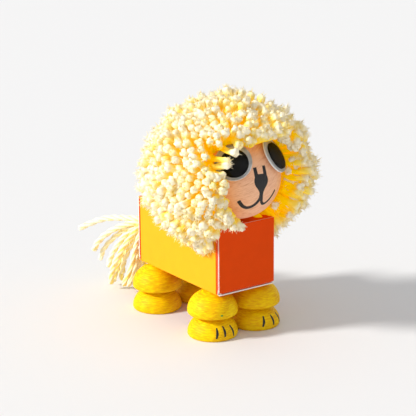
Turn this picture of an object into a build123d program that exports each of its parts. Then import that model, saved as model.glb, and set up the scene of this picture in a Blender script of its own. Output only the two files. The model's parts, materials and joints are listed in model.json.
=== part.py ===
"""Craft lion: a small tuck-end carton on painted wooden half balls, with a yarn mane and tail.

The lion looks along -Y and stands on z = 0. Its right side is -X and its left side is +X.
All sizes are in millimetres.
"""

import os
from math import acos, cos, degrees, radians, sin, sqrt

from build123d import *

# Driving dimensions.
ball_d = 25.0  # half balls of the legs and the paws
paw_h = 11.2  # a paw's crown is sanded down to this height
leg_h = 12.0  # a leg's crown is sanded less
rim_h = 1.6  # height of a half ball's widest ring above its flat
rim_in = 0.9  # how far the lower rim is rounded in
crown_r = 3.0  # flat sanded on the crown for the glue
glue = 0.1  # film of glue between wooden faces
leg_x = 13.0
leg_y = 24.5

card = 0.5
carton_w = 33.6
carton_h = 34.2
carton_l = 70.6
crease_r = card / 2
crease_gap = 0.3  # from a crease's axis to the edge of the next panel
flap_inset = 0.2  # an end flap's free edges stop this far inside the carton's sides
leaf_gap = 0.15  # between an end flap and the dust flaps behind it
tuck_l = 10.0
tuck_lift = 0.25  # under a tuck flap, above the bottom panel
tuck_inset = 1.4  # a tuck flap's sides stop this far inside the carton's sides
tuck_corner_r = 3.0
dust_l = 11.0
dust_lift = 1.8  # under a dust flap at its crease, above the tuck flap
dust_rise = 0.9  # its lower edge climbs by this much towards its tip
dust_head = 1.0  # over a dust flap at its crease; its upper edge slopes at 45 degrees
tab_h = 9.0  # the glue tab that closes the sleeve
tab_inset = 1.0

face_d = 42.0
face_y = -28.0  # the half ball's flat back, from the carton's middle
face_over_carton = 1.3  # the chin's height over the carton's top
face_turn = -3.0  # degrees about Z, so the face looks a little to its right
eye_d = 18.0
eye_spread = 39.5  # degrees to each side of the nose
eye_rise = 32.0  # degrees above the nose
eye_glue = 0.3
eye_pad_r = 3.0
eye_back_t = 0.6
dome_wall = 0.4
dome_rim_w = 0.7
dome_straight = 1.2  # height of the dome's upright side
dome_rise = 2.3  # height of the dome's crown above its side
pupil_d = 13.8
pupil_t = 0.8
pupil_play = 0.1
pupil_angle = -52.0  # where the pupil rests, in degrees from the face's own left to right

mane_r = 40.5
mane_y = -20.0
mane_z = 80.5
mane_front = 51.0  # the mane's front face, ahead of the carton's middle
mane_gap = 0.3
recess_r = 22.2  # the hollow round the half ball, at its back
recess_taper = 8.0
tie_d = 9.2
tie_thick = 2.2
tie_gap = 0.1

tail_z = 40.5
tail_hole_d = 4.0
tail_neck_d = 3.8
knot_r = 3.0
knot_gap = 0.3
tassel_droop = 45.0  # degrees under the level
# Along the tassel: distance from the knot's centre, half width, half height, rise, and lean to -X.
tassel_root = (3.6, 2.4, 2.4, 0.0, 0.0)
tassel_middle = (20.0, 8.0, 11.5, 1.0, 2.0)
tassel_tip = (38.0, 13.5, 20.5, 2.5, 4.0)

# Places that follow from them.
ball_r = ball_d / 2
face_r = face_d / 2
carton_z = paw_h + glue + leg_h + glue
carton_top = carton_z + carton_h
droop = radians(tassel_droop)
flap_y = carton_l / 2 - card / 2
knot_reach = carton_l / 2 + knot_gap + knot_r
tail_reach = knot_reach + tassel_tip[0] * cos(droop) + (tassel_tip[2] + tassel_tip[3]) * sin(droop)
carton_y = (mane_front - tail_reach) / 2  # puts the origin under the middle of the whole lion
flap_top = carton_top - crease_r
tuck_z = carton_z + card + tuck_lift + card / 2
dust_y = flap_y - card - leaf_gap
dust_x = carton_w / 2 - card / 2
tail_y = carton_y + knot_reach
tail_knot_at = Vector(0, tail_y, tail_z)
face_centre = Vector(0, carton_y + face_y, carton_top + face_over_carton + face_r)
sides = {"left": 1, "right": -1}
ends = {"front": -1, "rear": 1}


def write(piece, node):
    """Labels a finished piece and writes it to its own file."""
    piece.part.label = node
    export_step(piece.part, f"parts/{node}.step")


def half_ball(x, y, z, height):
    """A wooden half ball with its flat at height z, a rounded lower rim and a sanded crown."""
    rise = (height - rim_h) / sqrt(1 - (crown_r / ball_r) ** 2)
    section = Plane(origin=(x, y, z), x_dir=(1, 0, 0), z_dir=(0, -1, 0))
    with BuildPart() as ball:
        with BuildSketch(section):
            with BuildLine():
                Line((0, 0), (ball_r - rim_in, 0))
                ThreePointArc((ball_r - rim_in, 0), (ball_r - 0.25 * rim_in, 0.4 * rim_h), (ball_r, rim_h))
                EllipticalCenterArc(
                    (0, rim_h), ball_r, rise, start_angle=0, arc_size=degrees(acos(crown_r / ball_r))
                )
                Line((crown_r, height), (0, height))
                Line((0, height), (0, 0))
            make_face()
        revolve(axis=Axis((x, y, z), (0, 0, 1)))
    return ball


def plate(low, high):
    """A flat piece of card between two opposite corners."""
    size = [b - a for a, b in zip(low, high)]
    with BuildPart() as card_plate:
        with BuildSketch(Plane((low[0] + size[0] / 2, low[1] + size[1] / 2, low[2]))):
            Rectangle(size[0], size[1])
        extrude(amount=size[2])
    return card_plate


def plane_on_face(turn, rise, stand_off):
    """A plane over the face's ball, turned about Z and tipped up, in degrees, with its normal outwards."""
    turn = radians(face_turn + turn)
    rise = radians(rise)
    out = Vector(sin(turn) * cos(rise), -cos(turn) * cos(rise), sin(rise))
    return Plane(face_centre + out * stand_off, x_dir=(cos(turn), sin(turn), 0), z_dir=out)


os.makedirs("parts", exist_ok=True)

# Legs: each is a half ball glued on top of another, which is the paw.
for end, along in ends.items():
    for side, across in sides.items():
        foot = (across * leg_x, carton_y + along * leg_y)
        paw = half_ball(*foot, 0, paw_h)
        write(paw, f"{end}_{side}_paw")
        leg = half_ball(*foot, paw_h + glue, leg_h)
        write(leg, f"{end}_{side}_leg")

# Carton sleeve: four panels, and the tab that is glued inside its lower left edge.
half_w = carton_w / 2
panel_end = flap_y - crease_gap
with BuildPart() as carton_top_panel:
    with BuildSketch(Plane((0, carton_y, carton_top - card))):
        Rectangle(carton_w, 2 * panel_end)
    extrude(amount=card)
    long_edges = carton_top_panel.edges().filter_by(Axis.Y).group_by(Axis.Z)[-1]
    fillet(long_edges, radius=0.8 * card)
write(carton_top_panel, "carton_top_panel")

with BuildPart() as carton_bottom_panel:
    with BuildSketch(Plane((0, carton_y, carton_z))):
        Rectangle(carton_w, carton_l)
    extrude(amount=card)
    low_edges = carton_bottom_panel.edges().filter_by(Axis.Y).group_by(Axis.Z)[0]
    fillet(low_edges, radius=0.8 * card)
write(carton_bottom_panel, "carton_bottom_panel")

side_end = dust_y - crease_gap
for side, across in sides.items():
    inner, outer = sorted((across * (half_w - card), across * half_w))
    panel = plate(
        (inner, carton_y - side_end, carton_z + card), (outer, carton_y + side_end, carton_top - card)
    )
    write(panel, f"carton_{side}_panel")

tab = plate(
    (half_w - 2 * card, carton_y - side_end + tab_inset, carton_z + card),
    (half_w - card, carton_y + side_end - tab_inset, carton_z + card + tab_h),
)
write(tab, "carton_glue_tab")

# End flaps, each with its tuck flap and two dust flaps. Each fold is a rounded crease. A tuck flap turns about
# the inner corner of its crease, so that it can fold in towards its end flap as it slides out of the carton.
flap_w = carton_w - 2 * flap_inset
tuck_top = tuck_z + card / 2
flap_low = tuck_top + crease_gap - crease_r
for end, along in ends.items():
    flap_at = carton_y + along * flap_y
    with BuildPart() as end_flap:
        with BuildSketch(Plane((0, flap_at, flap_low))):
            Rectangle(flap_w, card)
        extrude(amount=flap_top - flap_low)
        with BuildSketch(Plane((-flap_w / 2, flap_at, flap_top), x_dir=(0, 1, 0), z_dir=(1, 0, 0))):
            Circle(crease_r)
        extrude(amount=flap_w)
        if end == "rear":
            with BuildSketch(Plane((0, flap_at, tail_z), x_dir=(1, 0, 0), z_dir=(0, 1, 0))):
                Circle(tail_hole_d / 2)
            extrude(amount=card, both=True, mode=Mode.SUBTRACT)
    write(end_flap, f"{end}_end_flap")

    tuck_w = carton_w - 2 * tuck_inset
    tuck_out = tuck_l - card / 2
    tuck_at = flap_at - along * card / 2
    with BuildPart() as tuck_flap:
        with BuildSketch(Plane((0, tuck_at - along * tuck_out / 2, tuck_z - card / 2))) as tuck_outline:
            Rectangle(tuck_w, tuck_out)
            free_corners = tuck_outline.vertices().group_by(Axis.Y)[0 if along > 0 else -1]
            fillet(free_corners, radius=tuck_corner_r)
        extrude(amount=card)
        with BuildSketch(Plane((-tuck_w / 2, tuck_at, tuck_top), x_dir=(0, 1, 0), z_dir=(1, 0, 0))):
            Circle(card)
            with Locations((along * card / 2, -card / 2)):
                Rectangle(card, card, mode=Mode.INTERSECT)
        extrude(amount=tuck_w)
    write(tuck_flap, f"{end}_tuck_flap")

    dust_at = carton_y + along * dust_y
    dust_low = tuck_z + card / 2 + dust_lift
    dust_high = flap_top - dust_head
    for side, across in sides.items():
        crease = Plane((across * dust_x, dust_at, 0), x_dir=(-across, 0, 0), z_dir=(0, across, 0))
        with BuildPart() as dust_flap:
            with BuildSketch(crease):
                with BuildLine():
                    Polyline(
                        (0, dust_low),
                        (dust_l, dust_low + dust_rise),
                        (dust_l, dust_high - dust_l),
                        (0, dust_high),
                        close=True,
                    )
                make_face()
            extrude(amount=card / 2, both=True)
            with BuildSketch(Plane((across * dust_x, dust_at, dust_low))):
                Circle(crease_r)
            extrude(amount=dust_high - dust_low)
        write(dust_flap, f"{end}_dust_flap_{side}")

# Head: a wooden half ball looks out of a pompom.
face_plane = plane_on_face(0, 0, 0)
with BuildPart(face_plane) as face_half_ball:
    Sphere(face_r)
    split(bisect_by=face_plane, keep=Keep.TOP)
write(face_half_ball, "face_half_ball")

with BuildPart() as mane_pompom:
    with Locations((0, carton_y + mane_y, mane_z)):
        Sphere(mane_r)
    notch_h = carton_top + mane_gap
    with BuildSketch(Plane((0, carton_y, 0))):
        Rectangle(carton_w + 2 * mane_gap, 4 * mane_r)
    extrude(amount=notch_h, mode=Mode.SUBTRACT)
    with BuildSketch(face_plane.offset(-mane_gap)):
        Circle(recess_r)
    extrude(amount=face_d, taper=-recess_taper, mode=Mode.SUBTRACT)
    with BuildSketch(face_plane.offset(-mane_gap)):
        Circle((tie_d + tie_thick) / 2 + tie_gap)
    extrude(amount=-tie_thick - 2 * tie_gap, mode=Mode.SUBTRACT)
    split(bisect_by=Plane.XZ.offset(mane_front - carton_y), keep=Keep.BOTTOM)
write(mane_pompom, "mane_pompom")

tie_centre = face_plane.offset(-mane_gap - tie_gap - tie_thick / 2).origin
with BuildPart() as mane_tie:
    with BuildSketch(Plane(tie_centre, x_dir=face_plane.z_dir, z_dir=face_plane.x_dir)):
        with Locations((0, tie_d / 2)):
            Circle(tie_thick / 2)
    revolve(axis=Axis(tie_centre, face_plane.z_dir))
write(mane_tie, "mane_tie")

# Eyes: a white back, a loose black pupil and a clear dome over it.
dome_r = eye_d / 2 - dome_rim_w
dome_top = dome_straight + dome_rise
dome_in_r = dome_r - dome_wall
crown_bend = (dome_r**2 + dome_rise**2) / (2 * dome_rise)
inner_bend = crown_bend - dome_wall
inner_straight = dome_top - crown_bend + sqrt(inner_bend**2 - dome_in_r**2)
with BuildPart() as clear_dome:
    with BuildSketch(Plane.XZ):
        with BuildLine():
            Polyline(
                (dome_in_r, inner_straight),
                (dome_in_r, 0),
                (eye_d / 2, 0),
                (eye_d / 2, dome_wall),
                (dome_r, dome_wall),
                (dome_r, dome_straight),
            )
            RadiusArc((dome_r, dome_straight), (0, dome_top), -crown_bend)
            Line((0, dome_top), (0, dome_top - dome_wall))
            RadiusArc((dome_in_r, inner_straight), (0, dome_top - dome_wall), -inner_bend)
        make_face()
    revolve(axis=Axis.Z)

pupil_shift = dome_in_r - pupil_d / 2 - pupil_play
for side, across in sides.items():
    seat = plane_on_face(across * eye_spread, eye_rise, face_r + eye_glue)
    with BuildPart() as eye_back:
        with BuildSketch(seat):
            Circle(eye_d / 2)
        extrude(amount=eye_back_t)
    write(eye_back, f"{side}_eye_back")

    pupil_at = seat.offset(eye_back_t + pupil_play)
    roll = radians(pupil_angle)
    with BuildPart() as pupil:
        with BuildSketch(pupil_at):
            with Locations((pupil_shift * cos(roll), pupil_shift * sin(roll))):
                Circle(pupil_d / 2)
        extrude(amount=pupil_t)
    write(pupil, f"{side}_eye_pupil")

    with BuildPart() as dome:
        with Locations(seat.offset(eye_back_t)):
            add(clear_dome.part)
    write(dome, f"{side}_eye_dome")

# Tail: a knot inside the rear flap, a knot outside it, and a tassel of yarn ends.
flap_face = carton_y + carton_l / 2 - card
anchor_at = flap_face - 0.6 * knot_r
with BuildPart() as tail_anchor_knot:
    with Locations((0, anchor_at, tail_z)):
        Sphere(knot_r)
    split(bisect_by=Plane.XZ.offset(-flap_face), keep=Keep.TOP)
    with BuildSketch(Plane((0, flap_face, tail_z), x_dir=(1, 0, 0), z_dir=(0, 1, 0))):
        Circle(tail_neck_d / 2)
    extrude(amount=card)
write(tail_anchor_knot, "tail_anchor_knot")

with BuildPart() as tail_knot:
    with Locations(tail_knot_at):
        Sphere(knot_r)
write(tail_knot, "tail_knot")

tassel_dir = Vector(0, cos(droop), -sin(droop))
with BuildPart() as tail_tassel:
    for along, half_width, half_height, rise, lean in (tassel_root, tassel_middle, tassel_tip):
        with BuildSketch(Plane(tail_knot_at + tassel_dir * along, x_dir=(-1, 0, 0), z_dir=tassel_dir)):
            with Locations((lean, rise)):
                Ellipse(half_width, half_height)
    loft()
write(tail_tassel, "tail_tassel")

# Glue: thin pads between the pieces that are stuck together.
with BuildPart() as glue_pads:
    for along in ends.values():
        for across in sides.values():
            for height in (paw_h, carton_z - glue):
                with BuildSketch(Plane((across * leg_x, carton_y + along * leg_y, height))):
                    Circle(crown_r)
                extrude(amount=glue)
    with BuildSketch(Plane((0, carton_y + mane_y + tie_d, carton_top))):
        Circle(0.8 * carton_w / 2)
    extrude(amount=mane_gap)
    with BuildSketch(face_plane.offset(-mane_gap)):
        Circle(0.75 * face_r)
        Circle(0.4 * face_r, mode=Mode.SUBTRACT)
    extrude(amount=mane_gap)
    for across in sides.values():
        with BuildSketch(plane_on_face(across * eye_spread, eye_rise, face_r + eye_glue)):
            Circle(eye_pad_r)
        extrude(amount=-2 * eye_glue)
    add(face_half_ball.part, mode=Mode.SUBTRACT)
write(glue_pads, "glue_pads")
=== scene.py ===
# %% [markdown]
# # A craft lion: carton, half balls and yarn
# This lesson dresses a small craft lion. The lion's body is a folded card carton, its legs and its face are
# wooden half balls, its eyes are wiggle eyes, and its mane and tail are yarn. Blender adds what CAD leaves
# plain: the finishes, the ink, and all of the yarn.

# %% Load the frame
import json
import math
import random

import bpy
import numpy as np
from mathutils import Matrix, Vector, noise


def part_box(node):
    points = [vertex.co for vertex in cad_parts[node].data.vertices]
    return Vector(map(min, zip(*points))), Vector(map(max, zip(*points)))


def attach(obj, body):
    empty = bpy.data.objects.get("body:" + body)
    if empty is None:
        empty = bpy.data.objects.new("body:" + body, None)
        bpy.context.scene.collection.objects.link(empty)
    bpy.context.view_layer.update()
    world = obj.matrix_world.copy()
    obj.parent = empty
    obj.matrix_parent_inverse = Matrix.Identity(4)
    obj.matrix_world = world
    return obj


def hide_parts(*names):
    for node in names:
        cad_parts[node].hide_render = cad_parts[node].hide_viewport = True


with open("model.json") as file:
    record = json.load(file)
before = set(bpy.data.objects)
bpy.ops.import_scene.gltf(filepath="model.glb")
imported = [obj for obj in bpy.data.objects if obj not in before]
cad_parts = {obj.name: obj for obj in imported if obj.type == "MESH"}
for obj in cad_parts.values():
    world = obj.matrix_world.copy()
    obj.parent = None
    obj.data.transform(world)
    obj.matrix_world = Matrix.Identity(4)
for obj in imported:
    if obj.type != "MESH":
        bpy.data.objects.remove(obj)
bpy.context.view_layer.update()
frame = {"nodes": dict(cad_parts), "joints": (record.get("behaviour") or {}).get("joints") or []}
nodes = frame["nodes"]
joints = {joint["name"]: joint for joint in frame["joints"]}
MM = 0.001
random.seed(11)
print("pieces from CAD:", len(nodes))

# %% [markdown]
# ## Where things are
# Every place in this lesson is worked out from the CAD pieces' own boxes, so that nothing has to be fitted by
# hand. The carton gives its sides, the half balls give their centres, and the joints give the eyes' axes.

# %% Read the places from the frame
floor_low, floor_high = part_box("carton_bottom_panel")
lid_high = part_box("carton_top_panel")[1]
carton_low = Vector((floor_low.x, floor_low.y, floor_low.z))
carton_high = Vector((floor_high.x, floor_high.y, lid_high.z))
ball_low, ball_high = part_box("face_half_ball")
face_r = (ball_high.z - ball_low.z) / 2
face_at = Vector((0, ball_low.y + face_r, ball_low.z + face_r))
pom_low, pom_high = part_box("mane_pompom")
mane_r = (pom_high.x - pom_low.x) / 2
mane_at = Vector((0, pom_high.y - mane_r, pom_high.z - mane_r))
tail_at = Vector(joints["tail_swing"]["pos_m"])
print("carton", carton_low, carton_high, "face", face_at, face_r, "mane", mane_at, mane_r)

# %% [markdown]
# ## The camera
# A long lens flattens the lion a little, and keeps its upright edges nearly parallel. The camera stands off to
# the lion's right and a little above it, and looks at a point inside the carton, just under its lid.

# %% Camera
CAMERA_TURN, CAMERA_RISE, CAMERA_ROLL = math.radians(-35.17), math.radians(16.81), math.radians(-0.45)
CAMERA_AWAY = 0.9024
LENS_MM, SENSOR_MM = 156.8, 36.0
carton_mid_y = (carton_low.y + carton_high.y) / 2
target = Vector((0, carton_mid_y - 2.9 * MM, 57.35 * MM))
back = Vector((
    math.sin(CAMERA_TURN) * math.cos(CAMERA_RISE),
    -math.cos(CAMERA_TURN) * math.cos(CAMERA_RISE),
    math.sin(CAMERA_RISE),
))
camera_data = bpy.data.cameras.new("camera")
camera_data.lens, camera_data.sensor_width = LENS_MM, SENSOR_MM
camera_data.clip_start, camera_data.clip_end = 0.01, 20
camera = bpy.data.objects.new("camera", camera_data)
bpy.context.scene.collection.objects.link(camera)
camera.location = target + back * CAMERA_AWAY
camera.rotation_mode = "QUATERNION"
camera.rotation_quaternion = (-back).to_track_quat("-Z", "Y")
camera.rotation_mode = "XYZ"
camera.rotation_euler.rotate_axis("Z", CAMERA_ROLL)
bpy.context.scene.camera = camera
print("camera at", camera.location)

# %% [markdown]
# ## Floor and light
# The lion stands on a pale, seamless table. One low lamp on the lion's right side lights the yellow card and
# half of the mane, and leaves the front in soft shade. The world fills the shade, so that no side of the lion
# is black. The plain Standard view transform keeps the card's strong colours.

# %% Table and lamps
def deselect():
    """Operators act on all that is selected, so each new piece starts with nothing selected."""
    bpy.ops.object.select_all(action="DESELECT")


def finish_material(name, colour=(0.8, 0.8, 0.8), **sockets):
    """A material and its Principled shader. Fixed values go on the shader's own sockets."""
    material = bpy.data.materials.new(name)
    material.use_nodes = True
    shader = material.node_tree.nodes["Principled BSDF"]
    shader.inputs["Base Color"].default_value = (*colour, 1)
    for socket, value in sockets.items():
        shader.inputs[socket.replace("_", " ")].default_value = value
    return material, shader


def aim(obj, at):
    obj.rotation_euler = (Vector(at) - obj.location).to_track_quat("-Z", "Y").to_euler()


deselect()
bpy.ops.mesh.primitive_plane_add(size=8, location=(0, 0, 0))
table = bpy.context.object
table.name = "table"
table_finish, _ = finish_material("table", (0.775, 0.77, 0.77), Roughness=0.75)
table.data.materials.append(table_finish)

KEY_STRENGTH, KEY_SOFTNESS, KEY_COLOUR = 3.7, math.radians(9), (1.0, 0.985, 0.955)
KEY_FROM = (-0.95, 0.32, 0.58)
FILL_COLOUR, FILL_STRENGTH = (0.93, 0.945, 0.97), 0.66
key_data = bpy.data.lights.new("key_lamp", "SUN")
key_data.energy, key_data.angle, key_data.color = KEY_STRENGTH, KEY_SOFTNESS, KEY_COLOUR
key = bpy.data.objects.new("key_lamp", key_data)
key.location = KEY_FROM
aim(key, (0, 0, 0))
bpy.context.scene.collection.objects.link(key)
world = bpy.data.worlds.new("studio")
bpy.context.scene.world = world
world.use_nodes = True
background = world.node_tree.nodes["Background"]
background.inputs["Color"].default_value = (*FILL_COLOUR, 1)
background.inputs["Strength"].default_value = FILL_STRENGTH
bpy.context.scene.view_settings.view_transform = "Standard"

# %% [markdown]
# ## Small helpers for materials
# A finish is a few nodes wired into the shader. These helpers add a node with its values set, so that each
# finish below reads as a list of what it is made of.

# %% Node helpers
def node(material, kind, inputs=None, **settings):
    """Adds a node, with its settings and its input values."""
    made = material.node_tree.nodes.new("ShaderNode" + kind)
    for key_, value in settings.items():
        setattr(made, key_, value)
    for key_, value in (inputs or {}).items():
        if isinstance(value, bpy.types.NodeSocket):
            material.node_tree.links.new(value, made.inputs[key_])
        else:
            made.inputs[key_].default_value = value
    return made


def ramp(material, factor, stops, interpolation="LINEAR"):
    """A colour ramp from (place, colour) stops."""
    made = node(material, "ValToRGB", {"Fac": factor})
    made.color_ramp.interpolation = interpolation
    while len(made.color_ramp.elements) < len(stops):
        made.color_ramp.elements.new(1)
    for element, (place, colour) in zip(made.color_ramp.elements, stops):
        element.position = place
        element.color = (*colour, 1)
    return made.outputs["Color"]


print("materials so far:", [material.name for material in bpy.data.materials])

# %% [markdown]
# ## Patterns
# Most of the finishes are noise at the size of the real thing: the card's fibres, the brush's streaks, the
# wood's grain. Noise that is squeezed along one axis turns into streaks. All patterns read Object coordinates,
# which stay on the piece when it moves, because every piece sits at the origin with its place in its mesh.

# %% Pattern helpers
def stretched(material, scale, tilt=0.0):
    """Object coordinates, tilted about Y and then stretched by a scale on each axis."""
    places = node(material, "TexCoord").outputs["Object"]
    tilted = node(material, "Mapping", {"Vector": places, "Rotation": (0, tilt, 0)}).outputs["Vector"]
    return node(material, "Mapping", {"Vector": tilted, "Scale": scale}).outputs["Vector"]


def grain(material, scale, size, detail=4.0, roughness=0.6, tilt=0.0):
    """Noise of the given size, in metres, stretched by scale."""
    places = stretched(material, scale, tilt)
    values = {"Vector": places, "Scale": 1 / size, "Detail": detail, "Roughness": roughness}
    return node(material, "TexNoise", values).outputs["Fac"]


def mixed(material, factor, a, b, blend="MIX"):
    made = node(material, "Mix", {0: factor, 6: a, 7: b}, data_type="RGBA", blend_type=blend)
    return made.outputs[2]


def maths(material, operation, a, b=0.0, clamp=False):
    made = node(material, "Math", {0: a, 1: b}, operation=operation, use_clamp=clamp)
    return made.outputs[0]


def bumped(material, shader, height, distance, strength=1.0):
    made = node(material, "Bump", {"Height": height, "Distance": distance, "Strength": strength})
    material.node_tree.links.new(made.outputs["Normal"], shader.inputs["Normal"])
    return made


def wire(material, shader, socket, value):
    material.node_tree.links.new(value, shader.inputs[socket])


def dress(names, material):
    """Gives CAD nodes a material, in their own slots."""
    for name in names:
        for slot in nodes[name].material_slots:
            slot.link = "OBJECT"
            slot.material = material


print("pieces that need a finish:", len(nodes))

# %% [markdown]
# ## Printed card
# The carton is one sheet of white card, printed on its outer side: yellow on the sides, orange on the lid,
# the bottom and the ends. The print wraps a little way round the corners, so each yellow side has a narrow
# orange strip at its ends. Cut edges and the inside stay white. One finish does all of it: the face's own
# normal says whether it is the printed side, and the place along the carton says which ink it has.

# %% Card finishes
YELLOW_INK, ORANGE_INK, CARD_CORE = (0.95, 0.40, 0.012), (0.80, 0.066, 0.0), (0.86, 0.82, 0.76)
FRONT_STRIP, REAR_STRIP = 1.4 * MM, 1.0 * MM


def card_finish(name, ink, outward, side_ink=None, strips=False):
    """Card with ink where its normal looks outward; elsewhere it is bare, or has side_ink on its flanks."""
    material, shader = finish_material(name, ink, Roughness=0.5, Specular_IOR_Level=0.07)
    normal = node(material, "TexCoord").outputs["Normal"]
    facing = node(material, "VectorMath", {0: normal, 1: outward}, operation="DOT_PRODUCT").outputs["Value"]
    printed = maths(material, "GREATER_THAN", facing, 0.35)
    mottle = grain(material, (1, 1, 1), 6 * MM, 3.0)
    fibres = grain(material, (1, 1, 1), 0.35 * MM, 3.0, 0.7)
    ink_colour = ramp(material, mottle, [
        (0.3, tuple(c * 0.955 for c in ink)), (0.7, ink),
    ])
    if strips:
        along = node(material, "SeparateXYZ", {0: node(material, "TexCoord").outputs["Object"]}).outputs["Y"]
        side_low, side_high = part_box("carton_right_panel")
        front = maths(material, "LESS_THAN", along, side_low.y + FRONT_STRIP)
        rear = maths(material, "GREATER_THAN", along, side_high.y - REAR_STRIP)
        ink_colour = mixed(material, maths(material, "MAXIMUM", front, rear), ink_colour, (*ORANGE_INK, 1))
    if side_ink:
        across = node(material, "SeparateXYZ", {0: normal}).outputs["X"]
        flank = maths(material, "GREATER_THAN", maths(material, "ABSOLUTE", across), 0.5)
        ink_colour = mixed(material, flank, ink_colour, (*side_ink, 1))
        printed = maths(material, "MAXIMUM", printed, flank)
    wire(material, shader, "Base Color", mixed(material, printed, (*CARD_CORE, 1), ink_colour))
    bumped(material, shader, fibres, 0.012 * MM, 0.6)
    return material


sides = {"left": 1, "right": -1}
ends = {"front": -1, "rear": 1}
for side, across in sides.items():
    dress([f"carton_{side}_panel"], card_finish(f"card_{side}", YELLOW_INK, (across, 0, 0), strips=True))
dress(["carton_top_panel"], card_finish("card_lid", ORANGE_INK, (0, 0, 1), side_ink=YELLOW_INK))
dress(["carton_bottom_panel"], card_finish("card_base", ORANGE_INK, (0, 0, -1), side_ink=YELLOW_INK))
dress(["carton_glue_tab"], card_finish("card_tab", CARD_CORE, (1, 0, 0)))
for end, along in ends.items():
    end_card = card_finish(f"card_{end}", ORANGE_INK, (0, along, 0))
    dress([f"{end}_end_flap"], end_card)
    dust_card = card_finish(f"card_{end}_dust", ORANGE_INK, (0, along, 0), side_ink=ORANGE_INK)
    dress([f"{end}_dust_flap_{side}" for side in sides], dust_card)
    dress([f"{end}_tuck_flap"], card_finish(f"card_{end}_tuck", ORANGE_INK, (0, along * 0.7, -0.7)))
print("card finishes:", [m.name for m in bpy.data.materials if m.name.startswith("card")])

# %% [markdown]
# ## Painted and stained wood
# The legs were painted by hand, in long strokes round each half ball, so thin streaks run level round them and
# the wood shows a little darker between the strokes. The face is stained pink, and its grain runs slantwise.

# %% Wood finishes
def brushed_paint(name, light, deep):
    material, shader = finish_material(name, light, Roughness=0.55, Specular_IOR_Level=0.12)
    strokes = grain(material, (0.26, 0.26, 2.6), 0.9 * MM, 6.0, 0.66)
    patches = grain(material, (1, 1, 0.6), 6 * MM, 2.0)
    both = maths(
        material, "ADD", maths(material, "MULTIPLY", strokes, 0.8), maths(material, "MULTIPLY", patches, 0.2)
    )
    wire(material, shader, "Base Color", ramp(material, both, [
        (0.36, deep), (0.5, tuple((a + b) / 2 for a, b in zip(light, deep))), (0.6, light),
    ]))
    wire(material, shader, "Roughness", ramp(material, strokes, [(0.3, (0.62,) * 3), (0.7, (0.42,) * 3)]))
    bumped(material, shader, strokes, 0.16 * MM, 0.9)
    return material


GRAIN_TILT = math.radians(24)


def stained_wood(name, light, deep):
    material, shader = finish_material(name, light, Roughness=0.55, Specular_IOR_Level=0.3)
    lines = grain(material, (0.22, 0.6, 2.6), 1.2 * MM, 7.0, 0.72, GRAIN_TILT)
    pores = grain(material, (0.35, 0.5, 3.4), 0.4 * MM, 3.0, 0.6, GRAIN_TILT)
    wire(material, shader, "Base Color", ramp(material, lines, [
        (0.30, deep), (0.47, tuple(0.75 * a + 0.25 * b for a, b in zip(light, deep))), (0.62, light),
    ]))
    both = maths(
        material, "ADD", maths(material, "MULTIPLY", lines, 0.6), maths(material, "MULTIPLY", pores, 0.4)
    )
    bumped(material, shader, both, 0.13 * MM, 0.9)
    return material


leg_paint = brushed_paint("yellow_paint", (0.98, 0.69, 0.0), (0.74, 0.33, 0.0))
for end in ends:
    for side in sides:
        dress([f"{end}_{side}_leg", f"{end}_{side}_paw"], leg_paint)
dress(["face_half_ball"], stained_wood("pink_stain", (1.0, 0.58, 0.35), (0.70, 0.28, 0.15)))
glue_finish, glue_shader = finish_material("glue", (0.85, 0.8, 0.66), Roughness=0.3)
bumped(glue_finish, glue_shader, grain(glue_finish, (1, 1, 1), 1 * MM), 0.1 * MM)
dress(["glue_pads"], glue_finish)
print("painted legs and paws:", len(ends) * len(sides) * 2)

# %% [markdown]
# ## Wiggle eyes
# Each eye is a white back, a loose black disc, and a clear moulded dome. The dome is thin clear plastic, so
# it only shows as a bright rim and a soft reflection.

# %% Eye finishes
white_plastic, white_shader = finish_material("eye_white", (0.85, 0.86, 0.87), Roughness=0.35)
bumped(white_plastic, white_shader, grain(white_plastic, (1, 1, 1), 0.8 * MM), 0.02 * MM)
black_plastic, black_shader = finish_material(
    "eye_black", (0.003, 0.003, 0.003), Roughness=0.5, Specular_IOR_Level=0.06
)
wire(black_plastic, black_shader, "Roughness", ramp(
    black_plastic, grain(black_plastic, (1, 1, 1), 2 * MM), [(0.3, (0.42,) * 3), (0.7, (0.6,) * 3)]
))
clear_plastic, clear_shader = finish_material(
    "eye_clear", (0.02, 0.022, 0.025), Roughness=0.05, Alpha=0.10, Specular_IOR_Level=0.6
)
bumped(clear_plastic, clear_shader, grain(clear_plastic, (1, 1, 1), 3 * MM, 1.0), 0.05 * MM, 0.4)
for side in sides:
    dress([f"{side}_eye_back"], white_plastic)
    dress([f"{side}_eye_pupil"], black_plastic)
    dress([f"{side}_eye_dome"], clear_plastic)
print("wiggle eyes:", [side for side in sides])

# %% [markdown]
# ## Ink on wood
# The nose, the mouth and the claws are drawn with a black felt pen. A pen line on a ball has a real edge, so
# each one is a thin skin of ink: a grid is laid out flat along the stroke, wrapped onto the ball, and given a
# little thickness. A stroke is a list of points, each with its own pen width.

# %% Pen strokes
INK_LIFT, INK_THICK = 0.05 * MM, 0.06 * MM
ink, ink_shader = finish_material("felt_pen", (0.012, 0.010, 0.010), Roughness=0.55)
wire(ink, ink_shader, "Base Color", ramp(
    ink, grain(ink, (1, 1, 1), 0.6 * MM), [(0.25, (0.03, 0.024, 0.022)), (0.5, (0.008, 0.007, 0.007))]
))
bumped(ink, ink_shader, grain(ink, (1, 1, 1), 0.3 * MM), 0.03 * MM)


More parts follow.
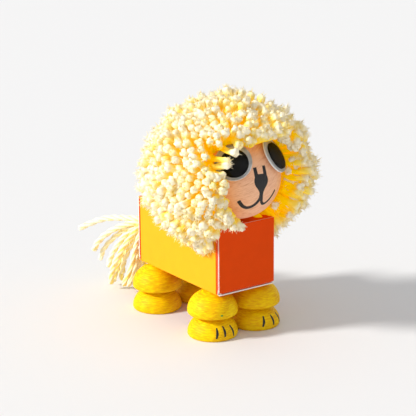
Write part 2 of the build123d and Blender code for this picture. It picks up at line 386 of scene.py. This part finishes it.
def smooth_line(points, steps):
    """A Catmull-Rom line through the points, as many times finer as steps says."""
    points = np.array(points, float)
    padded = np.vstack([2 * points[0] - points[1], points, 2 * points[-1] - points[-2]])
    made = []
    for a, b, c, d in zip(padded, padded[1:], padded[2:], padded[3:]):
        for t in np.arange(steps) / steps:
            made.append(0.5 * (2 * b + (c - a) * t + (2 * a - 5 * b + 4 * c - d) * t**2
                               + (3 * b - a - 3 * c + d) * t**3))
    return np.array(made + [points[-1]])


def pen_stroke(name, points, wrap, steps=6, across=4):
    """A skin of ink along points (turn, rise, width in millimetres), which wrap() lays on the wood."""
    line = smooth_line(points, steps)
    scale = wrap.degree
    run = np.gradient(line[:, :2], axis=0)
    run /= np.maximum(np.linalg.norm(run, axis=1, keepdims=True), 1e-9)
    side_step = np.stack([-run[:, 1], run[:, 0]], axis=1)
    deselect()
    bpy.ops.mesh.primitive_grid_add(x_subdivisions=across, y_subdivisions=len(line) - 1, size=1)
    stroke = bpy.context.object
    stroke.name = name
    for vertex in stroke.data.vertices:
        row = min(int(round((vertex.co.y + 0.5) * (len(line) - 1))), len(line) - 1)
        reach = vertex.co.x * line[row, 2] * MM / scale
        turn, rise = line[row, :2] + side_step[row] * reach
        vertex.co = wrap(turn, rise)
    thicken = stroke.modifiers.new("ink", "SOLIDIFY")
    thicken.thickness, thicken.offset = INK_THICK, 1
    bpy.ops.object.modifier_apply(modifier="ink")
    stroke.data.materials.append(ink)
    return stroke


print("ink on top of the wood:", round(INK_THICK / MM, 2), "mm")

# %% [markdown]
# ## Nose and mouth
# The face looks a little to its own right, so the nose sits a few degrees off the middle. Its two upright lines
# run up between the eyes, and the mouth is two hooks that hang from the nose. The places are angles on the
# ball, so they hold for any size of face.

# %% Nose and mouth
class Wrap:
    """Lays (turn, rise), in degrees, on a ball: turn goes round towards +X, rise goes up."""

    def __init__(self, centre, radius):
        self.centre, self.radius = Vector(centre), radius
        self.degree = radius * math.pi / 180

    def __call__(self, turn, rise):
        turn, rise = math.radians(turn), math.radians(rise)
        out = Vector((math.sin(turn) * math.cos(rise), -math.cos(turn) * math.cos(rise), math.sin(rise)))
        return self.centre + out * (self.radius + INK_LIFT)


face = Wrap(face_at, face_r)
NOSE = [(-3.0, 15.2, 3.0), (-3.1, 13.6, 6.0), (-3.2, 10.5, 7.3), (-3.3, 6.0, 7.8), (-3.3, 1.0, 6.8),
        (-3.2, -4.0, 4.4), (-3.1, -8.5, 2.5), (-3.0, -12.5, 2.1), (-3.0, -15.5, 2.2)]
BRIDGE_RIGHT = [(-11.4, 24.6, 1.9), (-11.0, 20.0, 1.9), (-10.4, 14.0, 2.0), (-9.5, 9.0, 2.0)]
BRIDGE_LEFT = [(3.8, 25.2, 1.8), (3.6, 20.0, 1.9), (3.4, 14.0, 2.0), (2.8, 9.0, 2.0)]
MOUTH_RIGHT = [(-3.2, -13.5, 1.5), (-4.0, -18.0, 1.7), (-7.2, -24.0, 1.8), (-13.5, -29.8, 1.8),
               (-21.5, -32.0, 1.9), (-29.0, -28.5, 2.0), (-35.2, -19.4, 2.0)]
MOUTH_LEFT = [(-2.6, -13.5, 1.5), (-1.6, -18.5, 1.6), (0.4, -25.0, 1.6), (5.2, -29.2, 1.5),
              (11.5, -27.0, 1.4), (17.5, -21.0, 1.3), (23.6, -11.6, 1.2)]
strokes = {
    "ink_nose": NOSE, "ink_bridge_right": BRIDGE_RIGHT, "ink_bridge_left": BRIDGE_LEFT,
    "ink_mouth_right": MOUTH_RIGHT, "ink_mouth_left": MOUTH_LEFT,
}
for name, points in strokes.items():
    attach(pen_stroke(name, points, face), "root")
print("ink on the face:", list(strokes))

# %% [markdown]
# ## Claws
# Each front paw has three claws, drawn with the same pen. A paw is a half ball whose crown is sanded down, so
# its side is part of an ellipse. The wrap for a paw takes millimetres round the rim, and millimetres up.

# %% Claws on the front paws
RIM_H, RIM_IN, RIM_CURVE = 1.6 * MM, 0.9 * MM, 2.6      # a paw's widest ring, and how its lower rim rounds in
CROWN_R = 3.0 * MM                                      # the flat sanded on a paw's crown


class PawWrap:
    """Lays (millimetres round the rim, millimetres up) on a paw or a leg."""

    degree = MM

    def __init__(self, name):
        low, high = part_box(name)
        self.centre = Vector(((low.x + high.x) / 2, (low.y + high.y) / 2, low.z))
        self.radius = (high.x - low.x) / 2
        self.rise = (high.z - low.z - RIM_H) / math.sqrt(1 - (CROWN_R / self.radius) ** 2)

    def __call__(self, arc, height):
        turn, z = arc * MM / self.radius, height * MM
        if z > RIM_H:
            reach = self.radius * math.sqrt(max(0.0, 1 - ((z - RIM_H) / self.rise) ** 2))
        else:
            reach = self.radius - RIM_IN * ((RIM_H - z) / RIM_H) ** RIM_CURVE
        reach += INK_LIFT
        return self.centre + Vector((reach * math.sin(turn), -reach * math.cos(turn), z))


# each claw: round the rim and up at its top, then round the rim and up at its foot, in millimetres
CLAWS = {
    "front_right_paw": [(-5.4, 6.9, -5.8, 2.0), (-1.5, 7.4, -1.3, 2.4), (3.6, 7.0, 4.4, 1.6)],
    "front_left_paw": [(-3.0, 7.2, -3.9, 2.3), (2.1, 7.0, 2.6, 2.1), (7.5, 6.8, 8.9, 1.6)],
}
for paw, claws in CLAWS.items():
    for number, (top_arc, top_height, low_arc, low_height) in enumerate(claws, 1):
        bend = ((top_arc + low_arc) / 2 + 0.35, (top_height + low_height) / 2, 1.3)
        claw = pen_stroke(
            f"claw_{paw}_{number}", [(top_arc, top_height, 0.8), bend, (low_arc, low_height, 0.8)], PawWrap(paw)
        )
        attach(claw, "root")
print("claws:", sum(len(c) for c in CLAWS.values()))

# %% [markdown]
# ## A slip of green paint
# Hand-painted things carry small slips of the brush. One leg of this lion has a fleck of green low on its rim.
# It is the same kind of skin as the pen strokes, short and wide in its middle, with a paint of its own.

# %% A slip of green paint on one leg
green_paint, _ = finish_material("green_dab", (0.10, 0.30, 0.01), Roughness=0.5)
fleck = [(-3.6, 2.3, 0.4), (-3.0, 2.4, 1.0), (-2.4, 2.5, 0.5)]
dab = pen_stroke("green_dab", fleck, PawWrap("front_right_leg"))
dab.data.materials[0] = green_paint
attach(dab, "root")
print("green fleck:", dab.name)

# %% [markdown]
# ## Yarn
# A pompom is hundreds of yarn ends that stand out from a tied middle. Seen from outside, each end is a plump,
# blunt tip whose plies have begun to open. A yarn end is modelled: a ring of twelve points, drawn in at
# every fourth one so that three plies show, is extruded and twisted ring by ring, swells near its end and is
# closed with a soft cap. Three such ends, with more or less swell and twist, are enough for variety.

# %% One yarn end
YARN_R = 1.30 * MM
GROOVE = 0.70            # how far in the groove between two plies goes, as a share of the radius
FIBRE_R, FIBRE_TIP_R = 0.17 * MM, 0.07 * MM


def yarn_end(name, swell, twist, around=12):
    """A yarn end from z = 0 to z = 1, with radii in metres. It opens like a small brush at its tip."""
    deselect()
    bpy.ops.mesh.primitive_circle_add(vertices=around, radius=YARN_R, fill_type="NOTHING", location=(0, 0, 0))
    end = bpy.context.object
    end.name = name
    for vertex in end.data.vertices:
        if vertex.index % 4 == 0:
            vertex.co *= GROOVE
    bpy.ops.object.mode_set(mode="EDIT")
    bpy.ops.mesh.select_all(action="SELECT")
    level, size = 0.0, 1.0
    rings = [
        (0.30, 1.0), (0.52, 1.02), (0.66, 1.08), (0.78, 0.5 + swell / 2),
        (0.87, swell), (0.94, swell * 1.04), (0.98, swell * 0.86), (1.0, swell * 0.5),
    ]
    for place, wanted in rings:
        bpy.ops.mesh.extrude_edges_move(TRANSFORM_OT_translate={"value": (0, 0, place - level)})
        bpy.ops.transform.resize(value=(wanted / size, wanted / size, 1), center_override=(0, 0, place))
        bpy.ops.transform.rotate(value=(place - level) * twist, orient_axis="Z", center_override=(0, 0, place))
        level, size = place, wanted
    bpy.ops.mesh.edge_face_add()
    bpy.ops.mesh.poke()
    bpy.ops.mesh.select_all(action="SELECT")
    bpy.ops.mesh.normals_make_consistent(inside=False)
    bpy.ops.object.mode_set(mode="OBJECT")
    return end


def fibre(name):
    """One stray fibre: a thin spike, from z = 0 to z = 1."""
    deselect()
    bpy.ops.mesh.primitive_cone_add(
        vertices=3, radius1=FIBRE_R, radius2=FIBRE_TIP_R, depth=1, location=(0, 0, 0.5)
    )
    spike = bpy.context.object
    spike.name = name
    bpy.ops.object.transform_apply(location=True)
    return spike


SWELLS_AND_TWISTS = [(1.24, 3.4), (1.12, 4.6), (1.36, 2.4)]
patterns = [yarn_end(f"yarn_end_{k}", swell, twist) for k, (swell, twist) in enumerate(SWELLS_AND_TWISTS, 1)]
stray = fibre("stray_fibre")
print("faces in one yarn end:", len(patterns[0].data.polygons))

# %% [markdown]
# ## Copies that follow a line
# A thousand yarn ends can't each be modelled, and a Curve modifier on each would be slow. The modelled end is
# read once as plain arrays instead. Every copy is those points carried along its own short line and turned at
# random about it, and all the copies of one piece are gathered in one mesh of its own.

# %% Copy the yarn end along a line
def mesh_arrays(obj):
    points = np.array([v.co for v in obj.data.vertices], float)
    faces = [tuple(p.vertices) for p in obj.data.polygons]
    return points, faces


def bend_along(points, line, thickness):
    """The pattern's points, carried along a line and turned at random about it. z runs from 0 to 1 along it."""
    steps = np.concatenate([[0], np.cumsum(np.linalg.norm(np.diff(line, axis=0), axis=1))])
    steps /= steps[-1]
    z = points[:, 2]
    centre = np.stack([np.interp(z, steps, line[:, k]) for k in range(3)], axis=1)
    run = np.gradient(line, axis=0)
    run /= np.linalg.norm(run, axis=1, keepdims=True)
    run = np.stack([np.interp(z, steps, run[:, k]) for k in range(3)], axis=1)
    run /= np.linalg.norm(run, axis=1, keepdims=True)
    aside = np.cross(run, (0.31, 0.17, 0.93))
    aside /= np.linalg.norm(aside, axis=1, keepdims=True)
    up = np.cross(aside, run)
    turn = random.uniform(0, 2 * math.pi)
    x = points[:, 0] * math.cos(turn) - points[:, 1] * math.sin(turn)
    y = points[:, 0] * math.sin(turn) + points[:, 1] * math.cos(turn)
    return centre + (aside * x[:, None] + up * y[:, None]) * thickness


def joined(name, parts, attributes):
    """One mesh from many copies: parts holds (points, faces), attributes holds per-point values by name."""
    points = np.vstack([p for p, _ in parts])
    faces, first = [], 0
    for own_points, own_faces in parts:
        faces += [tuple(i + first for i in face_) for face_ in own_faces]
        first += len(own_points)
    mesh = bpy.data.meshes.new(name)
    mesh.from_pydata(points.tolist(), [], faces)
    for key_, values in attributes.items():
        layer = mesh.attributes.new(key_, "FLOAT", "POINT")
        layer.data.foreach_set("value", np.concatenate(values).astype(np.float32))
    mesh.shade_smooth()
    obj = bpy.data.objects.new(name, mesh)
    bpy.context.scene.collection.objects.link(obj)
    return obj


print("points in one yarn end:", len(mesh_arrays(patterns[0])[0]))

# %% [markdown]
# ## The yarn's finish
# The yarn is a pale cream. Light that goes down between the ends comes back yellow, and the finish paints that
# light into the colour: cream at the tips and a strong yellow further in. Light also passes through the yarn
# itself and glows warm between the ends. A weak emission, strongest in the depths, is that glow painted in,
# because true scattering in fine fibres is slow to render. Each yarn end carries its depth and a random number
# of its own.

# %% Yarn finish
# painted glow: emission colours that stand for light passing through the yarn, weak at the tips, warm in the
# depths
TIP_GLOW, DEEP_GLOW = (0.045, 0.028, 0.008), (0.26, 0.165, 0.0)


def yarn_finish(name, tip, middle, deep, stops=(0.03, 0.20, 0.48)):
    material, shader = finish_material(name, tip, Roughness=1.0, Specular_IOR_Level=0.03)
    depth = node(material, "Attribute", attribute_name="depth").outputs["Fac"]
    own = node(material, "Attribute", attribute_name="own").outputs["Fac"]
    fibres = grain(material, (1, 1, 1), 0.5 * MM, 4.0, 0.75)
    tufts = grain(material, (1, 1, 1), 13 * MM, 2.0)
    for pattern, share in ((fibres, 0.22), (own, 0.16), (tufts, 0.34)):     # each shifts the depth by its share
        shift = maths(material, "MULTIPLY", maths(material, "SUBTRACT", pattern, 0.5), share)
        depth = maths(material, "ADD", depth, shift)
    # painted light: the deeper a point, the more its colour takes the yellow of light thrown back from between
    # the ends
    colour = ramp(material, depth, [(stops[0], tip), (stops[1], middle), (stops[2], deep)])
    wire(material, shader, "Base Color", colour)
    # painted glow: emission, rising with depth, that stands for light passing through the yarn
    through = ramp(material, depth, [(stops[0], TIP_GLOW), (stops[2], DEEP_GLOW)])
    wire(material, shader, "Emission Color", through)
    shader.inputs["Emission Strength"].default_value = 1.0
    bumped(material, shader, fibres, 0.35 * MM, 0.9)
    return material


mane_finish = yarn_finish("cream_yarn", (1.0, 0.92, 0.70), (1.0, 0.80, 0.17), (0.98, 0.62, 0.0))
print("yarn finish:", mane_finish.name, "nodes", len(mane_finish.node_tree.nodes))

# %% [markdown]
# ## Where yarn may go
# Yarn is soft, but it can't pass through wood, plastic or card. Four small rules move a point of a yarn end out
# of what is in its way: the half ball of the face, the two eyes, the carton, and a wide cone in front, where
# the mane is trimmed back so that it frames the face.

# %% Keep the yarn off the face, the eyes and the carton
CLEAR = 1.9 * MM         # from the middle of a yarn end to what it must not touch
OPENING = 0.96           # the opening round the face, as a share of the face's own radius
TRIM, TRIM_BROW, TRIM_CHEEK, TRIM_SLOPE = 14.0 * MM, 2.5 * MM, 3.5 * MM, 1.25
EYE_R, EYE_H = 9.0 * MM, 4.2 * MM
FLAP_ROOM = 1.6 * MM     # kept free over the lid's front edge, so that the flap can open
flap_hinge_z = carton_high.z + FLAP_ROOM
eye_joints = [joints[f"{side}_pupil_roll"] for side in sides]
eyes = [(Vector(joint["pos_m"]), Vector(joint["axis"])) for joint in eye_joints]


def push_off_face(p):
    """Moves a point out of the half ball, away from the face's own axis."""
    away = p - face_at
    if away.y > 0.2 * MM:
        return p
    wanted = math.sqrt(max((face_r + CLEAR) ** 2 - away.y**2, (face_r * OPENING) ** 2))
    flat = Vector((away.x, 0, away.z))
    if flat.length < wanted:
        flat = flat.normalized() * wanted
    return face_at + Vector((flat.x, away.y, flat.z))


def trim_to_cone(p):
    """Keeps a tip behind a cone round the face; it stands further forward over the brow and the right cheek."""
    away = p - face_at
    beside = math.hypot(away.x, away.z)
    brow, cheek = (max(0.0, part / max(beside, 1e-6)) for part in (away.z, -away.x))
    reach = TRIM + TRIM_BROW * brow + TRIM_CHEEK * cheek + max(0.0, beside - face_r) * TRIM_SLOPE
    return Vector((p.x, max(p.y, face_at.y - reach), p.z))


def push_off_eyes(p, over_it):
    """Moves a point out of the eyes: sideways, or over the dome where that is nearer and is allowed."""
    for seat, out in eyes:
        rise = (p - seat).dot(out)
        flat = p - seat - out * rise
        aside, above = EYE_R + CLEAR - flat.length, EYE_H + CLEAR - rise
        if aside <= 0 or above <= 0 or rise < -6 * MM:
            continue
        p = p + out * above if over_it and above < aside else p + flat.normalized() * aside
    return p


def push_off_carton(p):
    """Moves a point out of the carton, through the nearer of its lid and its long sides."""
    over = carton_high.z + CLEAR - p.z
    beside = carton_high.x + CLEAR - abs(p.x)
    if over <= 0 or beside <= 0 or p.y > carton_high.y + CLEAR:
        return p
    if p.y < carton_low.y - CLEAR:
        return Vector((p.x, p.y, max(p.z, flap_hinge_z + CLEAR)))
    if over < beside:
        return Vector((p.x, p.y, p.z + over))
    return Vector((p.x + math.copysign(beside, p.x), p.y, p.z))


print("eyes at", [tuple(round(c / MM, 1) for c in seat) for seat, out in eyes], "in mm")

# %% [markdown]
# ## The mane
# The yarn ends start on a ball inside the pompom and end on its outside. They are spread evenly over the ball
# and then pushed about a little, so they gather in tufts with gaps between. Where something is in the way, an
# end bends round it, and one that would have to bend too far is left out. No end hangs over the chin.

# %% Lay out the mane
MANE_ENDS = 1120
ROOT_SHARE, MIDDLE_SHARE = 0.58, 0.80    # an end's start and its middle, as shares of the mane's radius
SPREAD = Vector((1.05, 1.05, 0.955))     # the pompom is a little wider than it is tall
SAG, TUFT_DRIFT, LUMPS = 2.5 * MM, 3.4 * MM, 1.8 * MM
MANE_SLACK = 8 * MM                      # how far a point may be moved before its end is left out
STRAIGHTEST_BEND = 0.45                  # the least cosine between an end's two halves
LOWEST_TIP = 30 * MM
BOW_OUT, LEAN_IN = 3 * MM, 3.5 * MM      # how a trimmed end on the lion's left leans in towards the face
CHIN_RIGHT, CHIN_LEFT = -12 * MM, 15 * MM
DRIFT_SHIFTS = [Vector((9.3, -1.5, -8.0)), Vector((0, 0, 0)), Vector((6.3, 0.2, -2.7))]
rng = np.random.default_rng(5)


def drift(p):
    """A smooth random vector at a point. Blender's noise_vector isn't used, because it varies between runs."""
    return Vector([noise.noise(p + shift) for shift in DRIFT_SHIFTS])


def even_directions(count):
    """Directions spread evenly over a ball, along a spiral."""
    k = np.arange(count) + 0.5
    height = 1 - 2 * k / count
    turn = math.pi * (1 + 5**0.5) * k
    ring = np.sqrt(1 - height**2)
    return np.stack([ring * np.cos(turn), ring * np.sin(turn), height], axis=1)


def add_end(points, slack):
    """Keeps a yarn end if it need not move or bend too much to stay clear of what is in its way."""
    line = [push_off_carton(push_off_eyes(push_off_face(trim_to_cone(p)), p is points[2])) for p in points]
    radial = Vector((line[2].x - face_at.x, 0, line[2].z - face_at.z)).normalized()
    if (line[2] - points[2]).length > 1 * MM and radial.x > 0:
        line[1] += radial * BOW_OUT * radial.x
        line[2] -= radial * LEAN_IN * radial.x
    first, second = line[1] - line[0], line[2] - line[1]
    if second.length < 3 * MM or first.length < 2 * MM:
        return
    if first.normalized().dot(second.normalized()) < STRAIGHTEST_BEND:
        return
    if max((a - b).length for a, b in zip(line, points)) > slack or line[2].z < LOWEST_TIP:
        return
    below_chin = line[2].z < face_at.z - 0.72 * face_r and line[2].y < carton_low.y + 7 * MM
    if below_chin and CHIN_RIGHT < line[2].x < CHIN_LEFT:
        return
    halves = [line[0].lerp(line[1], 0.5), line[1].lerp(line[2], 0.5)]
    mane_lines.append(np.array([line[0], halves[0], line[1], halves[1], line[2]]))


mane_lines = []
for direction in even_directions(MANE_ENDS):
    out = Vector(direction) * SPREAD
    hang = SAG * max(0.0, -out.z) * max(0.0, 0.4 + out.y)
    swirl = drift((mane_at + out * mane_r) * 90.0)
    tip = mane_at + out * (mane_r * rng.uniform(0.955, 1.0) + hang + LUMPS * noise.noise(out * 4.5))
    tip += swirl * TUFT_DRIFT + Vector(rng.normal(0, 0.5 * MM, 3))
    add_end([mane_at + out * mane_r * ROOT_SHARE, mane_at + out * mane_r * MIDDLE_SHARE, tip], MANE_SLACK)
print("yarn ends in the mane:", len(mane_lines))

# %% [markdown]
# ## The ruff
# Trimming the mane to a cone leaves the wall of the opening bare. A ruff of shorter ends fills it, from the
# wood out to the mane's edge. A sunflower spiral spreads them evenly. On the lion's left they lean in over the
# face, which is how brushed-out yarn falls there, and on its right they stand straight out.

# %% Fill the ruff round the face
RUFF_ENDS = 380
RUFF_SLACK = 7 * MM
RUFF_OUT = 0.93          # how far out the ruff goes, as a share of the mane's radius
before = len(mane_lines)
for number in range(RUFF_ENDS):
    share = (number + 0.5) / RUFF_ENDS
    beside = math.sqrt((face_r * OPENING) ** 2 * (1 - share) + (mane_r * RUFF_OUT) ** 2 * share)
    turn = number * math.pi * (3 - 5**0.5) + rng.normal(0, 0.05)
    radial = Vector((math.cos(turn), 0, math.sin(turn)))
    tip = trim_to_cone(face_at + radial * beside - Vector((0, 60 * MM, 0)))
    if (tip - mane_at).length > mane_r:
        continue
    tip += Vector(rng.normal(0, 0.8 * MM, 3)) + Vector((0, rng.uniform(0, 2.5) * MM, 0))
    lean = max(0.0, radial.x)
    root = tip + radial * (11 * lean - 4) * MM + Vector((0, (15 - 6 * lean) * MM, 0))
    add_end([root, root.lerp(tip, 0.5) + radial * 0.8 * MM, tip], RUFF_SLACK)
print("yarn ends in the ruff:", len(mane_lines) - before)

# %% [markdown]
# ## Growing the yarn on its lines
# Each line now gets a copy of the yarn end, roughened a little so that no two are alike, and a burst of stray
# fibres at its tip. An end or a fibre that would still run through a plastic eye, or where the front flap
# swings, is left out. The mane is made as four pieces, one for each quarter, so that none of them grows too
# large a mesh.

# %% Make the mane
STRAYS_PER_END = 22
FLAP_MARGIN = 1.2 * MM
ROUGHNESS = 0.60 * MM
EYE_MARGIN_LOW, EYE_MARGIN_TOP = 0.2 * MM, 0.3 * MM


def in_an_eye(points):
    """Says whether any of the points lies under an eye's dome."""
    for seat, out in eyes:
        rise = (points - np.array(seat)) @ np.array(out)
        flat = np.linalg.norm(points - np.array(seat) - rise[:, None] * np.array(out), axis=1)
        if np.any((flat < EYE_R) & (rise > -EYE_MARGIN_LOW) & (rise < EYE_H - EYE_MARGIN_TOP)):
            return True
    return False


def in_the_flap(points):
    """Says whether any of the points is where the front flap swings."""
    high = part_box("front_end_flap")[1]
    x, y, z = points.T
    return bool(np.any((abs(x) < high.x + FLAP_MARGIN) & (y < high.y) & (z < high.z + FLAP_MARGIN)))


def tuft(line):
    """One yarn end and its stray fibres along a line, with the depth of every point."""
    points, faces = pattern_arrays[rng.integers(len(pattern_arrays))]
    made = bend_along(points, line, rng.uniform(0.98, 1.30))
    if in_an_eye(made) or in_the_flap(made):
        return [], []
    rough = np.array([drift(Vector(p) * 700.0) for p in made]) * ROUGHNESS
    parts = [(made + rough * np.clip(points[:, 2:3] * 2 - 0.6, 0, 1), faces)]
    depths = [(1 - points[:, 2]) * 0.9]
    run = (line[-1] - line[-2]) / np.linalg.norm(line[-1] - line[-2])
    for _ in range(STRAYS_PER_END):
        aside = run * rng.uniform(0.3, 1.1) + rng.normal(0, 0.42, 3)
        aside /= np.linalg.norm(aside)
        start = line[-1] - run * rng.uniform(0.6, 3.2) * MM + aside * 1.0 * MM
        stop = start + aside * rng.uniform(1.0, 2.7) * MM
        spike_line = np.array([start, (start + stop) / 2 + rng.normal(0, 0.15 * MM, 3), stop])
        spike = bend_along(stray_points, spike_line, 1.0)
        if in_an_eye(spike) or in_the_flap(spike):
            continue
        parts.append((spike, stray_faces))
        depths.append(np.full(len(stray_points), rng.uniform(0.0, 0.1)))
    return parts, depths


pattern_arrays = [mesh_arrays(obj) for obj in patterns]
stray_points, stray_faces = mesh_arrays(stray)
quarters = {"front_right": [], "front_left": [], "rear_right": [], "rear_left": []}
for line in mane_lines:
    end = "front" if line[-1][1] < mane_at.y else "rear"
    side = "left" if line[-1][0] > 0 else "right"
    quarters[f"{end}_{side}"].append(line)
for quarter, lines in quarters.items():
    parts, depths, owns = [], [], []
    for line in lines:
        new_parts, new_depths = tuft(line)
        parts += new_parts
        depths += new_depths
        owns.append(np.full(sum(len(p) for p, _ in new_parts), rng.random()))
    piece = joined(f"mane_{quarter}", parts, {"depth": depths, "own": owns})
    piece.data.materials.append(mane_finish)
    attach(piece, "root")
    print(piece.name, "ends", len(lines), "faces", len(piece.data.polygons))
for obj in [*patterns, stray]:
    bpy.data.objects.remove(obj)

# %% [markdown]
# ## The pompom's core
# Between the roots of the ends there is packed yarn. It is one ball, cut flat where it rests on the carton's
# lid and where the wooden face is glued to it. Its depth is set high, so it takes the painted yellow and glow.

# %% Core of the pompom
CORE_SHARE = 0.70        # the core's radius, as a share of the mane's
# a high depth gives the core the painted yellow and painted glow of light deep between the ends
CORE_DEPTH, CORE_OWN = 0.45, 0.5
deselect()
bpy.ops.mesh.primitive_ico_sphere_add(subdivisions=5, radius=mane_r * CORE_SHARE, location=mane_at)
core = bpy.context.object
core.name = "mane_core"
bpy.ops.object.transform_apply(location=True, rotation=True, scale=True)
bpy.ops.object.mode_set(mode="EDIT")
at_the_face = ((0, face_at.y + 1.6 * MM, 0), (0, -1, 0))
at_the_lid = ((0, 0, carton_high.z + 0.8 * MM), (0, 0, -1))
for place, normal in (at_the_face, at_the_lid):
    bpy.ops.mesh.select_all(action="SELECT")
    bpy.ops.mesh.bisect(plane_co=place, plane_no=normal, use_fill=True, clear_outer=True)
bpy.ops.object.mode_set(mode="OBJECT")
for key_, value in (("depth", CORE_DEPTH), ("own", CORE_OWN)):
    layer = core.data.attributes.new(key_, "FLOAT", "POINT")
    layer.data.foreach_set("value", np.full(len(core.data.vertices), value, np.float32))
core.data.materials.append(mane_finish)
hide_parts("mane_pompom")
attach(core, "root")
print("core faces:", len(core.data.polygons))

# %% [markdown]
# ## The tail
# The tail is a bundle of plied yarn strands. One long strand is modelled: a ring with three lobes, extruded
# upwards a millimetre at a time and turned a little each time, so that the lobes wind round each other as plies
# do. Each strand of the tail is a copy, cut to length and carried along its own line, from the knot to its tip.

# %% One long strand
STRAND_R, TWIST_LENGTH = 1.5 * MM, 6.0 * MM
LOBE_MEAN, LOBE_DEPTH = 0.84, 0.20


def plied_strand(name, length, ring_step=1.0 * MM, around=12):
    """A straight strand along Z: a three-lobed ring, extruded and turned step by step."""
    deselect()
    bpy.ops.mesh.primitive_circle_add(vertices=around, radius=STRAND_R, fill_type="NOTHING")
    strand = bpy.context.object
    strand.name = name
    for vertex in strand.data.vertices:
        turn = math.atan2(vertex.co.y, vertex.co.x)
        vertex.co *= LOBE_MEAN + LOBE_DEPTH * math.cos(3 * turn)
    bpy.ops.object.mode_set(mode="EDIT")
    bpy.ops.mesh.select_all(action="SELECT")
    bpy.ops.mesh.edge_face_add()
    turn_per_ring = 2 * math.pi * ring_step / TWIST_LENGTH / 3
    for step in range(1, int(length / ring_step) + 1):
        bpy.ops.mesh.extrude_region_move(TRANSFORM_OT_translate={"value": (0, 0, ring_step)})
        bpy.ops.transform.rotate(value=turn_per_ring, orient_axis="Z", center_override=(0, 0, step * ring_step))
    bpy.ops.object.mode_set(mode="OBJECT")
    return strand


def cut_strand(strand, length):
    """The points and faces of a copy of the strand, cut off at a length."""
    deselect()
    piece = strand.copy()
    piece.data = strand.data.copy()
    bpy.context.scene.collection.objects.link(piece)
    bpy.context.view_layer.objects.active = piece
    piece.select_set(True)
    bpy.ops.object.mode_set(mode="EDIT")
    bpy.ops.mesh.select_all(action="SELECT")
    bpy.ops.mesh.bisect(plane_co=(0, 0, length), plane_no=(0, 0, 1), use_fill=True, clear_outer=True)
    bpy.ops.mesh.select_all(action="SELECT")
    bpy.ops.mesh.normals_make_consistent(inside=False)
    bpy.ops.object.mode_set(mode="OBJECT")
    points, faces = mesh_arrays(piece)
    bpy.data.objects.remove(piece)
    return points, faces


long_strand = plied_strand("strand", 90 * MM)
print("points in the long strand:", len(long_strand.data.vertices))

# %% [markdown]
# ## The strands of the tail
# The strands leave the knot together, run level for a little way and then fall in their own curves. One strays
# high and far, as the outermost yarn of a tassel does. Near the knot the grooves between the strands are deep,
# so the painted yellow, which stands for light thrown back between the strands, is strongest there.

# %% Lay the strands
# where each strand's tip is: across, along and up, in millimetres
TIPS = [
    (-22, 70.5, 28), (-17, 57.5, 13), (-15, 53, 10), (-13, 51, 1.8), (-8, 50, 1.8), (-11, 40, 1.8), (-18, 46, 3),
    (-2, 46, 2.0), (4, 47, 6), (7, 42, 2.2), (12, 40, 7), (-21, 58, 19), (-6, 55, 7), (3, 38, 1.8), (8, 52, 14),
    (-16, 37, 4), (14, 46, 15), (0, 58, 18), (-12, 44, 8), (-5, 40, 1.8),
]
tail_finish = yarn_finish(
    "tail_yarn", (1.0, 0.92, 0.66), (1.0, 0.80, 0.18), (1.0, 0.64, 0.0), stops=(0.06, 0.24, 0.52)
)
parts, depths, owns, lengths = [], [], [], []
for tip in TIPS:
    tip = np.array(tip) * MM
    start = np.array(tail_at) + rng.normal(0, 0.6 * MM, 3) + np.array((0, 1.2 * MM, 0))
    reach = tip - start
    early = start + np.array((reach[0] * 0.20, 6.5 * MM, -0.5 * MM))
    half = start + reach * (0.58, 0.66, 0.34)
    late = start + reach * (0.90, 0.92, 0.70) + rng.normal(0, 0.9 * MM, 3)
    line = smooth_line([start, early, half, late, tip], 16)
    length = np.linalg.norm(np.diff(line, axis=0), axis=1).sum()
    points, faces = cut_strand(long_strand, length)
    along = points[:, 2].copy()
    lobe = (np.linalg.norm(points[:, :2], axis=1) / STRAND_R - LOBE_MEAN) / LOBE_DEPTH
    points[:, :2] *= np.minimum(1.0, 0.35 + (length - along[:, None]) / (1.2 * MM))
    points[:, 2] /= length
    parts.append((bend_along(points, line, rng.uniform(0.9, 1.08)), faces))
    # painted light: the grooves between the plies and the first 16 mm from the knot get more depth, so more
    # painted yellow and glow
    depths.append(0.10 - 0.12 * lobe + 0.30 * np.maximum(0.0, 1 - along / (16 * MM)))
    owns.append(np.full(len(points), rng.random()))
    lengths.append(length / MM)
bpy.data.objects.remove(long_strand)
print("strands", len(lengths), "from", round(min(lengths), 1), "to", round(max(lengths), 1), "mm")
tail = joined("tail_strands", parts, {"depth": depths, "own": owns})
tail.data.materials.append(tail_finish)
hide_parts("tail_tassel")
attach(tail, "tail_brush")

# %% [markdown]
# ## Knots and tie
# The pompom's tie and the tail's two knots are the same yarn as the mane. Their CAD solids have the right shape
# already, so they only need the yarn's finish. They carry no depth of their own, so they read as pale tips.

# %% Knots and tie
KNOTS = ["tail_knot", "tail_anchor_knot", "mane_tie"]
dress(KNOTS, mane_finish)
print("dressed in yarn:", KNOTS)
